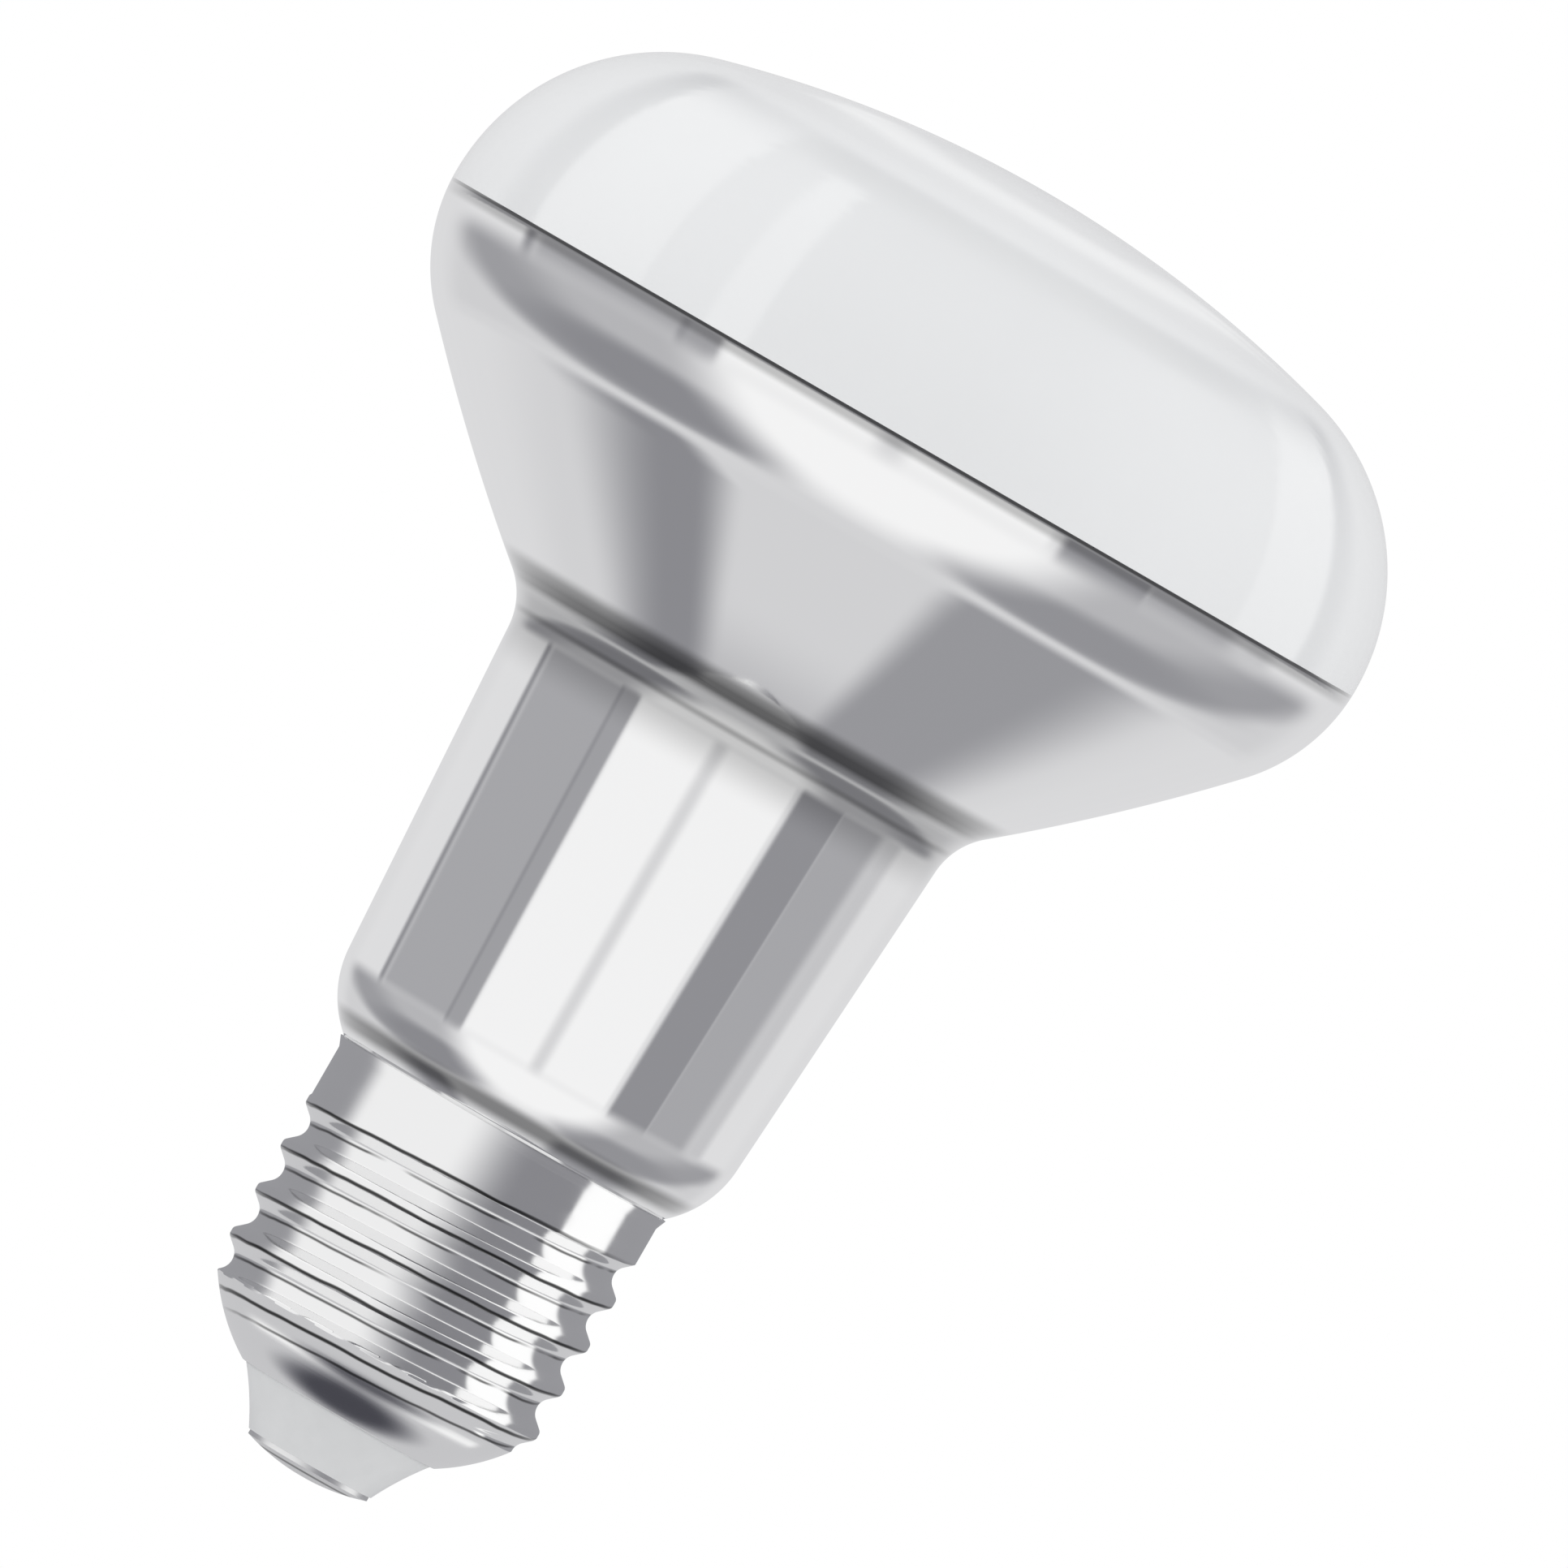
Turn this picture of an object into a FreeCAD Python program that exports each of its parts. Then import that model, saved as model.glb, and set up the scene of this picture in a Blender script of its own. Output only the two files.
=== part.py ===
import FreeCAD, Part
import math
import os
import Sketcher
from FreeCAD import Vector

# Reflector bulb with an E27 screw cap, cap down, in millimetres.
# The origin is the lowest point of the centre contact and Z is the bulb's axis.
# Every height below is measured up from there.

doc = FreeCAD.newDocument("reflector_bulb")

SIZES = [
    # Blown bulb: mirrored neck and cone below, white crown above, one piece of glass
    ("overall_length", 106.3),
    ("bulb_diameter", 74.4),
    ("widest_height", 86.5),
    ("shoulder_radius", 17.0),
    ("belly_radius", 13.8),
    ("belly_turn", 43.3),
    ("cone_bow_radius", 162.0),
    ("crease_radius", 5.4),
    ("neck_foot_radius", 16.03),
    ("neck_foot_height", 34.5),
    ("neck_taper", 3.6),
    ("stub_foot_height", 20.0),
    ("cement_gap", 0.2),
    # Screw shell: one drawn and rolled sheet, thread E27, seven turns to the inch
    ("shell_wall", 0.3),
    ("thread_pitch", 3.629),
    ("crest_radius", 13.2),
    ("groove_depth", 1.1),
    ("root_round", 1.2),
    ("crest_round", 0.35),
    ("flank_angle", 42.0),
    ("top_groove_height", 23.61),
    ("groove_run", 16.6),
    ("runout_turn", 0.3),
    ("collar_radius", 13.1),
    ("collar_foot_height", 24.1),
    ("rim_height", 28.8),
    ("rim_flare_height", 0.8),
    ("rim_flare", 0.33),
    ("bowl_top_height", 10.7),
    ("bowl_radius", 15.1),
    ("shell_end_height", 5.2),
    ("shell_hole_radius", 7.65),
    # Insulator: moulded plug that closes the shell and carries the contact
    ("insulator_foot_radius", 5.05),
    ("insulator_foot_height", 1.1),
    ("insulator_flare_radius", 23.0),
    ("plug_top_height", 8.0),
    # Centre contact: a domed plate with a rivet shank
    ("contact_radius", 4.9),
    ("contact_edge", 0.35),
    ("tip_flat_radius", 1.0),
    ("shank_radius", 1.2),
    ("shank_top_height", 6.5),
]

sheet = doc.addObject("Spreadsheet::Sheet", "sizes")
for row, (alias, value) in enumerate(SIZES, start=1):
    sheet.set("A%d" % row, alias)
    sheet.set("B%d" % row, str(value))
    sheet.setAlias("B%d" % row, alias)
doc.recompute()


def size(alias):
    """The value that the sheet holds now, as a plain number."""
    return float(sheet.get(alias))


def new_body(name):
    body = doc.addObject("PartDesign::Body", name)
    body.Label = name
    return body


def origin_feature(body, role):
    """One of the body's own planes or axes, found by its role."""
    return next(feature for feature in body.Origin.OriginFeatures if feature.Role == role)


def axial_sketch(body, name):
    """A sketch in the plane through the axis: its X is the radius and its Y the height."""
    sketch = body.newObject("Sketcher::SketchObject", name)
    sketch.AttachmentSupport = [(origin_feature(body, "XZ_Plane"), "")]
    sketch.MapMode = "FlatFace"
    return sketch


def line(start, end):
    return Part.LineSegment(Vector(start[0], start[1], 0), Vector(end[0], end[1], 0))


def arc(centre, radius, from_angle, to_angle):
    """An arc drawn anticlockwise between two angles in radians."""
    circle = Part.Circle(Vector(centre[0], centre[1], 0), Vector(0, 0, 1), radius)
    return Part.ArcOfCircle(circle, from_angle, to_angle)


START, END, CENTRE = range(1, 4)
AXIS_ROOT = (-1, 1)
VERTICAL_AXIS = -2


def bind(sketch, name, expression, *constraint):
    """Adds a named size to a sketch and ties it to the sheet."""
    index = sketch.addConstraint(Sketcher.Constraint(*constraint))
    sketch.renameConstraint(index, name)
    sketch.setExpression("Constraints." + name, expression)


def join(sketch, *ends):
    """Joins pairs of curve ends: (curve, end, next curve, next end)."""
    for pair in ends:
        sketch.addConstraint(Sketcher.Constraint("Coincident", *pair))


def blend(sketch, *ends):
    """Joins pairs of curve ends so that one runs smoothly into the next."""
    for pair in ends:
        sketch.addConstraint(Sketcher.Constraint("Tangent", *pair))


def at_radius(sketch, name, expression, curve, end, value):
    bind(sketch, name, expression, "DistanceX", *AXIS_ROOT, curve, end, value)


def at_height(sketch, name, expression, curve, end, value):
    bind(sketch, name, expression, "DistanceY", *AXIS_ROOT, curve, end, value)


def on_axis(sketch, curve, end):
    sketch.addConstraint(Sketcher.Constraint("PointOnObject", curve, end, VERTICAL_AXIS))


def level(sketch, *curves):
    for curve in curves:
        sketch.addConstraint(Sketcher.Constraint("Horizontal", curve))


def upright(sketch, *curves):
    for curve in curves:
        sketch.addConstraint(Sketcher.Constraint("Vertical", curve))


def revolve(body, sketch, name):
    turned = body.newObject("PartDesign::Revolution", name)
    turned.Profile = sketch
    turned.ReferenceAxis = (sketch, ["V_Axis"])
    turned.Angle = 360.0
    body.Tip = turned
    return turned


# Glass bulb

# The shoulder is a rounding under the crown, and takes at most this share of its rise
SHOULDER_SHARE = 0.9


def glass_points():
    """Centres and joints of the bulb's outline, from the driving sizes."""
    widest = size("bulb_diameter") / 2
    level_of_widest = size("widest_height")
    top = size("overall_length")
    rise = top - level_of_widest
    shoulder = min(size("shoulder_radius"), SHOULDER_SHARE * rise)
    belly = size("belly_radius")
    bow = size("cone_bow_radius")
    crease = size("crease_radius")
    turn = math.radians(size("belly_turn"))
    taper = math.radians(size("neck_taper"))
    across = widest - shoulder
    crown = (across ** 2 + rise ** 2 - shoulder ** 2) / (2 * (rise - shoulder))
    points = {"crown_centre": (0.0, top - crown), "crown_radius": crown}
    points["shoulder_centre"] = (across, level_of_widest)
    points["shoulder_radius"] = shoulder
    points["crown_end"] = math.atan2(level_of_widest - top + crown, across)
    points["belly_centre"] = (widest - belly, level_of_widest)
    points["bow_centre"] = (widest - belly + (belly - bow) * math.cos(turn),
                            level_of_widest - (belly - bow) * math.sin(turn))
    # The crease's centre is one crease radius outside the neck line and as far outside the bow
    foot = (size("neck_foot_radius"), size("neck_foot_height"))
    along = (math.sin(taper), math.cos(taper))
    outward = (math.cos(taper), -math.sin(taper))
    offset = (foot[0] + crease * outward[0] - points["bow_centre"][0],
              foot[1] + crease * outward[1] - points["bow_centre"][1])
    half = offset[0] * along[0] + offset[1] * along[1]
    rest = offset[0] ** 2 + offset[1] ** 2 - (bow + crease) ** 2
    reach = -half - math.sqrt(half ** 2 - rest)
    centre = (foot[0] + crease * outward[0] + reach * along[0],
              foot[1] + crease * outward[1] + reach * along[1])
    points["crease_centre"] = centre
    points["crease_start"] = math.atan2(points["bow_centre"][1] - centre[1],
                                        points["bow_centre"][0] - centre[0])
    points["neck_top"] = (centre[0] - crease * outward[0], centre[1] - crease * outward[1])
    points["neck_foot"] = foot
    # The seat arc leaves the neck line smoothly and passes through the rim's inner edge
    seat = (size("collar_radius") + size("rim_flare") - size("shell_wall"), size("rim_height"))
    drop = (foot[0] - seat[0], foot[1] - seat[1])
    radius = (drop[0] ** 2 + drop[1] ** 2) / (2 * (drop[0] * outward[0] + drop[1] * outward[1]))
    points["seat"] = seat
    points["seat_radius"] = radius
    points["seat_centre"] = (foot[0] - radius * outward[0], foot[1] - radius * outward[1])
    stub = (size("crest_radius") - size("groove_depth") - size("shell_wall")
            - size("cement_gap"))
    side = stub - points["seat_centre"][0]
    points["stub_top"] = (stub, points["seat_centre"][1] - math.sqrt(radius ** 2 - side ** 2))
    return points


def make_glass():
    at = glass_points()
    turn = math.radians(size("belly_turn"))
    taper = math.radians(size("neck_taper"))
    widest = size("bulb_diameter") / 2
    top = size("overall_length")
    foot = size("stub_foot_height")
    stub = at["stub_top"][0]
    outward = -taper
    stub_angle = math.atan2(at["stub_top"][1] - at["seat_centre"][1],
                            stub - at["seat_centre"][0])
    crease_from = math.pi - taper
    crease_to = at["crease_start"] % (2 * math.pi)
    bow_from = crease_to - math.pi
    body = new_body("glass_bulb")
    sketch = axial_sketch(body, "bulb_outline")
    crown, shoulder, belly, bow, crease, neck, seat, stub_side, stub_end, axis = range(10)
    sketch.addGeometry([
        arc(at["crown_centre"], at["crown_radius"], at["crown_end"], math.pi / 2),
        arc(at["shoulder_centre"], at["shoulder_radius"], 0, at["crown_end"]),
        arc(at["belly_centre"], size("belly_radius"), -turn, 0),
        arc(at["bow_centre"], size("cone_bow_radius"), bow_from, -turn),
        arc(at["crease_centre"], size("crease_radius"), *sorted((crease_from, crease_to))),
        line(at["neck_foot"], at["neck_top"]),
        arc(at["seat_centre"], at["seat_radius"], stub_angle, outward),
        line((stub, foot), at["stub_top"]),
        line((0, foot), (stub, foot)),
        line((0, foot), (0, top)),
    ], False)
    crease_top, crease_foot = (START, END) if crease_to < crease_from else (END, START)
    blend(sketch,
          (crown, START, shoulder, END),
          (shoulder, START, belly, END),
          (belly, START, bow, END),
          (bow, START, crease, crease_top),
          (crease, crease_foot, neck, END),
          (neck, START, seat, END))
    join(sketch,
         (seat, START, stub_side, END),
         (stub_side, START, stub_end, END),
         (stub_end, START, axis, START),
         (axis, END, crown, END))
    upright(sketch, stub_side, axis)
    level(sketch, stub_end)
    on_axis(sketch, crown, CENTRE)
    on_axis(sketch, axis, START)
    at_height(sketch, "overall_length", "sizes.overall_length", crown, END, top)
    at_radius(sketch, "widest_radius", "sizes.bulb_diameter / 2", belly, END, widest)
    at_height(sketch, "widest_height", "sizes.widest_height", belly, END, size("widest_height"))
    at_height(sketch, "shoulder_level", "sizes.widest_height", shoulder, CENTRE,
              size("widest_height"))
    crown_rise = "(sizes.overall_length - sizes.widest_height)"
    bind(sketch, "shoulder_radius",
         "min(sizes.shoulder_radius; %s * %s)" % (SHOULDER_SHARE, crown_rise),
         "Radius", shoulder, at["shoulder_radius"])
    bind(sketch, "belly_radius", "sizes.belly_radius", "Radius", belly, size("belly_radius"))
    bind(sketch, "belly_turn", "sizes.belly_turn * 1 deg", "Angle", belly, turn)
    bind(sketch, "bow_radius", "sizes.cone_bow_radius", "Radius", bow, size("cone_bow_radius"))
    bind(sketch, "crease_radius", "sizes.crease_radius",
         "Radius", crease, size("crease_radius"))
    bind(sketch, "neck_slope", "(90 - sizes.neck_taper) * 1 deg",
         "Angle", neck, math.pi / 2 - taper)
    at_radius(sketch, "neck_foot_radius", "sizes.neck_foot_radius", neck, START,
              size("neck_foot_radius"))
    at_height(sketch, "neck_foot_height", "sizes.neck_foot_height", neck, START,
              size("neck_foot_height"))
    # The seat touches the flared rim all round, at a point that the rim's sizes give
    touch = sketch.addGeometry(Part.Point(Vector(at["seat"][0], at["seat"][1], 0)), True)
    sketch.addConstraint(Sketcher.Constraint("PointOnObject", touch, START, seat))
    at_radius(sketch, "seat_radius", "sizes.collar_radius + sizes.rim_flare - sizes.shell_wall",
              touch, START, at["seat"][0])
    at_height(sketch, "seat_height", "sizes.rim_height", touch, START, at["seat"][1])
    at_radius(sketch, "stub_radius",
              "sizes.crest_radius - sizes.groove_depth - sizes.shell_wall - sizes.cement_gap",
              stub_side, START, stub)
    at_height(sketch, "stub_foot", "sizes.stub_foot_height", stub_side, START, foot)
    revolve(body, sketch, "blown_bulb")
    return body


# Screw shell: the sheet's outside and its inside are turned and grooved alike, one wall
# apart, and the inside is then taken out of the outside

def set_in(inset):
    """The sheet's thickness for the inside or nothing for the outside, as a number and as
    the endings of an expression that is made smaller or larger by it."""
    if inset:
        return size("shell_wall"), " - sizes.shell_wall", " + sizes.shell_wall"
    return 0.0, "", ""


def blank_outline(body, name, inset):
    """Half section of the shell before threading: flared rim, collar, blank and round bowl."""
    gap, less, more = set_in(inset)
    rim = size("rim_height")
    lip = size("collar_radius") + size("rim_flare") - gap
    collar = size("collar_radius") - gap
    flare_foot = rim - size("rim_flare_height")
    crest = size("crest_radius")
    blank = crest - gap
    step_top = size("collar_foot_height")
    step_foot = step_top - 2 * (crest - size("collar_radius"))
    bowl = size("bowl_radius") - gap
    centre = size("bowl_top_height") + math.sqrt(size("bowl_radius") ** 2 - crest ** 2)
    end = size("shell_end_height") + gap
    end_radius = math.sqrt(bowl ** 2 - (centre - end) ** 2)
    bowl_start = (blank, centre - math.sqrt(bowl ** 2 - blank ** 2))
    from_angle = math.atan2(end - centre, end_radius)
    to_angle = math.atan2(bowl_start[1] - centre, blank)
    sketch = axial_sketch(body, name)
    top, flare, collar_side, step, blank_side, round_bowl, floor, axis = range(8)
    sketch.addGeometry([
        line((0, rim), (lip, rim)),
        line((lip, rim), (collar, flare_foot)),
        line((collar, flare_foot), (collar, step_top)),
        line((collar, step_top), (blank, step_foot)),
        line((blank, step_foot), bowl_start),
        arc((0, centre), bowl, from_angle, to_angle),
        line((0, end), (end_radius, end)),
        line((0, end), (0, rim)),
    ], False)
    join(sketch,
         (top, END, flare, START),
         (flare, END, collar_side, START),
         (collar_side, END, step, START),
         (step, END, blank_side, START),
         (blank_side, END, round_bowl, END),
         (floor, END, round_bowl, START),
         (floor, START, axis, START),
         (axis, END, top, START))
    level(sketch, top, floor)
    upright(sketch, collar_side, blank_side, axis)
    on_axis(sketch, round_bowl, CENTRE)
    on_axis(sketch, axis, START)
    at_height(sketch, "rim_height", "sizes.rim_height", top, END, rim)
    at_radius(sketch, "lip_radius", "sizes.collar_radius + sizes.rim_flare" + less,
              top, END, lip)
    at_height(sketch, "flare_foot", "sizes.rim_height - sizes.rim_flare_height",
              flare, END, flare_foot)
    at_radius(sketch, "collar_radius", "sizes.collar_radius" + less, flare, END, collar)
    at_height(sketch, "step_top", "sizes.collar_foot_height", step, START, step_top)
    at_height(sketch, "step_foot",
              "sizes.collar_foot_height - 2 * (sizes.crest_radius - sizes.collar_radius)",
              step, END, step_foot)
    at_radius(sketch, "blank_radius", "sizes.crest_radius" + less, step, END, blank)
    bind(sketch, "bowl_radius", "sizes.bowl_radius" + less, "Radius", round_bowl, bowl)
    at_height(sketch, "bowl_centre",
              "sizes.bowl_top_height + sqrt(sizes.bowl_radius ^ 2 - sizes.crest_radius ^ 2)",
              round_bowl, CENTRE, centre)
    at_height(sketch, "end_height", "sizes.shell_end_height" + more, floor, END, end)
    return sketch


def groove_outline(body, name, inset):
    """Section of the thread's groove: a round root, two straight flanks and the rounding of
    the crests above and below it. On the inside each curve keeps its centre."""
    gap, less, more = set_in(inset)
    flank = math.radians(size("flank_angle"))
    middle = size("top_groove_height")
    crest = size("crest_radius") - gap
    root = size("root_round") + gap
    rounding = size("crest_round") - gap
    centre = size("crest_radius") - size("groove_depth") + size("root_round")
    touch = (centre - root * math.sin(flank), root * math.cos(flank))
    crest_centre = crest - rounding
    leave_radius = crest_centre + rounding * math.sin(flank)
    leave_rise = touch[1] + (leave_radius - touch[0]) * math.tan(flank)
    rise = leave_rise + rounding * math.cos(flank)
    clear = crest + size("groove_depth")
    right_angle = math.pi / 2
    sketch = axial_sketch(body, name)
    bottom, flank_high, crest_high, side_high, mouth, side_low, crest_low, flank_low = range(8)
    sketch.addGeometry([
        arc((centre, middle), root, right_angle + flank, 3 * right_angle - flank),
        line((touch[0], middle + touch[1]), (leave_radius, middle + leave_rise)),
        arc((crest_centre, middle + rise), rounding, flank - right_angle, 0),
        line((crest, middle + rise), (clear, middle + rise)),
        line((clear, middle + rise), (clear, middle - rise)),
        line((clear, middle - rise), (crest, middle - rise)),
        arc((crest_centre, middle - rise), rounding, 0, right_angle - flank),
        line((leave_radius, middle - leave_rise), (touch[0], middle - touch[1])),
    ], False)
    blend(sketch,
          (bottom, START, flank_high, START),
          (flank_high, END, crest_high, START),
          (crest_low, END, flank_low, START),
          (flank_low, END, bottom, END))
    join(sketch,
         (crest_high, END, side_high, START),
         (side_high, END, mouth, START),
         (mouth, END, side_low, START),
         (side_low, END, crest_low, START))
    level(sketch, side_high, side_low)
    upright(sketch, mouth)
    for curve, end in ((crest_high, END), (crest_low, START)):
        sketch.addConstraint(Sketcher.Constraint("Horizontal", curve, CENTRE, curve, end))
    root_centre = "sizes.crest_radius - sizes.groove_depth + sizes.root_round"
    at_radius(sketch, "root_centre", root_centre, bottom, CENTRE, centre)
    at_height(sketch, "middle", "sizes.top_groove_height", bottom, CENTRE, middle)
    bind(sketch, "root_round", "sizes.root_round" + more, "Radius", bottom, root)
    bind(sketch, "flank_high", "sizes.flank_angle * 1 deg", "Angle", flank_high, flank)
    bind(sketch, "flank_low", "(180 - sizes.flank_angle) * 1 deg",
         "Angle", flank_low, math.pi - flank)
    bind(sketch, "round_high", "sizes.crest_round" + less, "Radius", crest_high, rounding)
    bind(sketch, "round_low", "sizes.crest_round" + less, "Radius", crest_low, rounding)
    at_radius(sketch, "crest_high", "sizes.crest_radius" + less, crest_high, END, crest)
    at_radius(sketch, "crest_low", "sizes.crest_radius" + less, crest_low, START, crest)
    at_radius(sketch, "mouth", "sizes.crest_radius + sizes.groove_depth" + less,
              mouth, START, clear)
    return sketch


def cut_helix(body, sketch, name, turns, growth, downwards):
    """Carries the groove's section round the axis and takes it out of the blank."""
    helix = body.newObject("PartDesign::SubtractiveHelix", name)
    helix.Profile = sketch
    helix.ReferenceAxis = (sketch, ["V_Axis"])
    helix.Mode = "height-turns-growth"
    helix.setExpression("Turns", turns)
    helix.setExpression("Height", "%s * sizes.thread_pitch" % turns)
    helix.setExpression("Growth", growth)
    helix.Reversed = downwards
    body.Tip = helix
    return helix


def threaded_form(name, inset):
    """A turned blank with the thread's groove, which runs out of the surface at its top."""
    body = new_body(name)
    blank = revolve(body, blank_outline(body, name + "_outline", inset), name + "_blank")
    doc.recompute()
    groove = groove_outline(body, name + "_groove", inset)
    # The run-out is cut first: it leaves the surface as it climbs, at the top of the thread
    cut_helix(body, groove, name + "_runout", "sizes.runout_turn",
              "(sizes.groove_depth + sizes.crest_round) / sizes.runout_turn", False)
    doc.recompute()
    cut_helix(body, groove, name + "_thread",
              "sizes.groove_run / sizes.thread_pitch", "0", True)
    doc.recompute()
    print(name, "blank", round(blank.Shape.Volume, 1), "threaded", round(body.Shape.Volume, 1))
    return body


def make_shell():
    outside = threaded_form("shell_outside", False)
    inside = threaded_form("shell_inside", True)
    sheet_metal = doc.addObject("Part::Cut", "rolled_sheet")
    sheet_metal.Base = outside
    sheet_metal.Tool = inside
    hole = doc.addObject("Part::Cylinder", "end_hole")
    hole.setExpression("Radius", "sizes.shell_hole_radius")
    hole.setExpression("Height", "sizes.rim_height - sizes.shell_end_height")
    hole.setExpression("Placement.Base.z", "sizes.shell_end_height")
    shell = doc.addObject("Part::Cut", "screw_shell")
    shell.Base = sheet_metal
    shell.Tool = hole
    shell.Label = "screw_shell"
    return shell


# Insulator

def make_insulator():
    """A plug in the shell's end hole that flares down to the contact's plate."""
    foot = (size("insulator_foot_radius"), size("insulator_foot_height"))
    hole = size("shell_hole_radius")
    end = size("shell_end_height")
    top = size("plug_top_height")
    shank = size("shank_radius")
    flare = size("insulator_flare_radius")
    # The flare's centre is outside the plug, on the middle line between its two ends
    across, rise = hole - foot[0], end - foot[1]
    chord = math.hypot(across, rise)
    away = math.sqrt(flare ** 2 - chord ** 2 / 4)
    centre = ((foot[0] + hole) / 2 + away * rise / chord,
              (foot[1] + end) / 2 - away * across / chord)
    from_angle = math.atan2(end - centre[1], hole - centre[0]) % (2 * math.pi)
    to_angle = math.atan2(foot[1] - centre[1], foot[0] - centre[0]) % (2 * math.pi)
    body = new_body("cap_insulator")
    sketch = axial_sketch(body, "plug_outline")
    seat, flank, plug_side, plug_top, bore = range(5)
    sketch.addGeometry([
        line((shank, foot[1]), foot),
        arc(centre, flare, from_angle, to_angle),
        line((hole, end), (hole, top)),
        line((hole, top), (shank, top)),
        line((shank, top), (shank, foot[1])),
    ], False)
    join(sketch,
         (seat, END, flank, END),
         (flank, START, plug_side, START),
         (plug_side, END, plug_top, START),
         (plug_top, END, bore, START),
         (bore, END, seat, START))
    level(sketch, seat, plug_top)
    upright(sketch, plug_side, bore)
    at_radius(sketch, "foot_radius", "sizes.insulator_foot_radius", seat, END, foot[0])
    at_height(sketch, "foot_height", "sizes.insulator_foot_height", seat, END, foot[1])
    at_radius(sketch, "plug_radius", "sizes.shell_hole_radius", plug_side, START, hole)
    at_height(sketch, "flare_top", "sizes.shell_end_height", plug_side, START, end)
    bind(sketch, "flare_radius", "sizes.insulator_flare_radius", "Radius", flank, flare)
    at_height(sketch, "plug_top", "sizes.plug_top_height", plug_side, END, top)
    at_radius(sketch, "bore_radius", "sizes.shank_radius", bore, START, shank)
    revolve(body, sketch, "moulded_plug")
    return body


# Centre contact

def make_contact():
    """A plate with a domed underside and a small flat at its tip, riveted by its shank."""
    tip = size("tip_flat_radius")
    plate = size("contact_radius")
    seat = size("insulator_foot_height")
    edge_foot = seat - size("contact_edge")
    shank = size("shank_radius")
    top = size("shank_top_height")
    centre = (plate ** 2 + edge_foot ** 2 - tip ** 2) / (2 * edge_foot)
    dome = math.hypot(tip, centre)
    body = new_body("centre_contact")
    sketch = axial_sketch(body, "contact_outline")
    flat, domed, edge, plate_top, shank_side, shank_end, axis = range(7)
    sketch.addGeometry([
        line((0, 0), (tip, 0)),
        arc((0, centre), dome, math.atan2(-centre, tip), math.atan2(edge_foot - centre, plate)),
        line((plate, edge_foot), (plate, seat)),
        line((plate, seat), (shank, seat)),
        line((shank, seat), (shank, top)),
        line((shank, top), (0, top)),
        line((0, top), (0, 0)),
    ], False)
    join(sketch,
         (flat, END, domed, START),
         (domed, END, edge, START),
         (edge, END, plate_top, START),
         (plate_top, END, shank_side, START),
         (shank_side, END, shank_end, START),
         (shank_end, END, axis, START),
         (axis, END, flat, START))
    level(sketch, flat, plate_top, shank_end)
    upright(sketch, edge, shank_side, axis)
    on_axis(sketch, domed, CENTRE)
    sketch.addConstraint(Sketcher.Constraint("Coincident", flat, START, *AXIS_ROOT))
    at_radius(sketch, "tip_radius", "sizes.tip_flat_radius", flat, END, tip)
    at_radius(sketch, "plate_radius", "sizes.contact_radius", edge, START, plate)
    at_height(sketch, "edge_foot", "sizes.insulator_foot_height - sizes.contact_edge",
              edge, START, edge_foot)
    at_height(sketch, "seat_height", "sizes.insulator_foot_height", edge, END, seat)
    at_radius(sketch, "shank_radius", "sizes.shank_radius", shank_side, START, shank)
    at_height(sketch, "shank_top", "sizes.shank_top_height", shank_side, END, top)
    revolve(body, sketch, "contact_plate")
    return body


pieces = [make_glass(), make_shell(), make_insulator(), make_contact()]
doc.recompute()

for item in doc.Objects:
    failed = [state for state in item.State if state in ("Invalid", "Error")]
    if failed:
        raise RuntimeError("%s failed: %s" % (item.Name, item.State))
    if item.isDerivedFrom("Sketcher::SketchObject") and not item.FullyConstrained:
        print("open sketch:", item.Name)
for piece in pieces:
    shape = piece.Shape
    if shape.isNull() or not shape.isValid() or len(shape.Solids) != 1:
        raise RuntimeError("%s isn't one valid solid" % piece.Label)

os.makedirs("parts", exist_ok=True)
for piece in pieces:
    piece.Shape.exportStep("parts/%s.step" % piece.Label)
    box = piece.Shape.BoundBox
    print("%s: volume %.1f, across %.2f, from %.2f to %.2f"
          % (piece.Label, piece.Shape.Volume, box.XLength, box.ZMin, box.ZMax))
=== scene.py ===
"""A mirrored reflector bulb, dressed for a studio picture.

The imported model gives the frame, and every surface here is worked out from a few sizes in
millimetres. A turned piece is a half section carried round the axis: x = r cos a, y = r sin a.
The rolled cap is a radius that depends on height and angle: the smaller of the plain blank and
a groove that climbs one pitch in each turn.
"""
import math

import bpy
import numpy as np
from mathutils import Matrix, Vector


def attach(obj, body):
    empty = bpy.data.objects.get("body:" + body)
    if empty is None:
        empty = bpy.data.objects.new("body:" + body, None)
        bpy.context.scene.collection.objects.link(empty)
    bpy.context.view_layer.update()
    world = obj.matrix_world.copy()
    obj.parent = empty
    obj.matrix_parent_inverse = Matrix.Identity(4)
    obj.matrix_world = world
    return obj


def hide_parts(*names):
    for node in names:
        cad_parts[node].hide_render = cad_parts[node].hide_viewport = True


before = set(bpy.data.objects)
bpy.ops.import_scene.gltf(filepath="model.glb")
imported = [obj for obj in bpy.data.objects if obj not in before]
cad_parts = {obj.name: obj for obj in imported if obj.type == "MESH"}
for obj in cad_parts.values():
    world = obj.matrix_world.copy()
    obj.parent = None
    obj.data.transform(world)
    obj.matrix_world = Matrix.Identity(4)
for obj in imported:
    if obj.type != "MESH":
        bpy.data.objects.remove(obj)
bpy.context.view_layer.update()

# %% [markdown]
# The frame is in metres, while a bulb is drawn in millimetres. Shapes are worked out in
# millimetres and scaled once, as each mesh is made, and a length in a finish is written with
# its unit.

MM = 0.001
print("frame nodes:", sorted(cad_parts))

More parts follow.
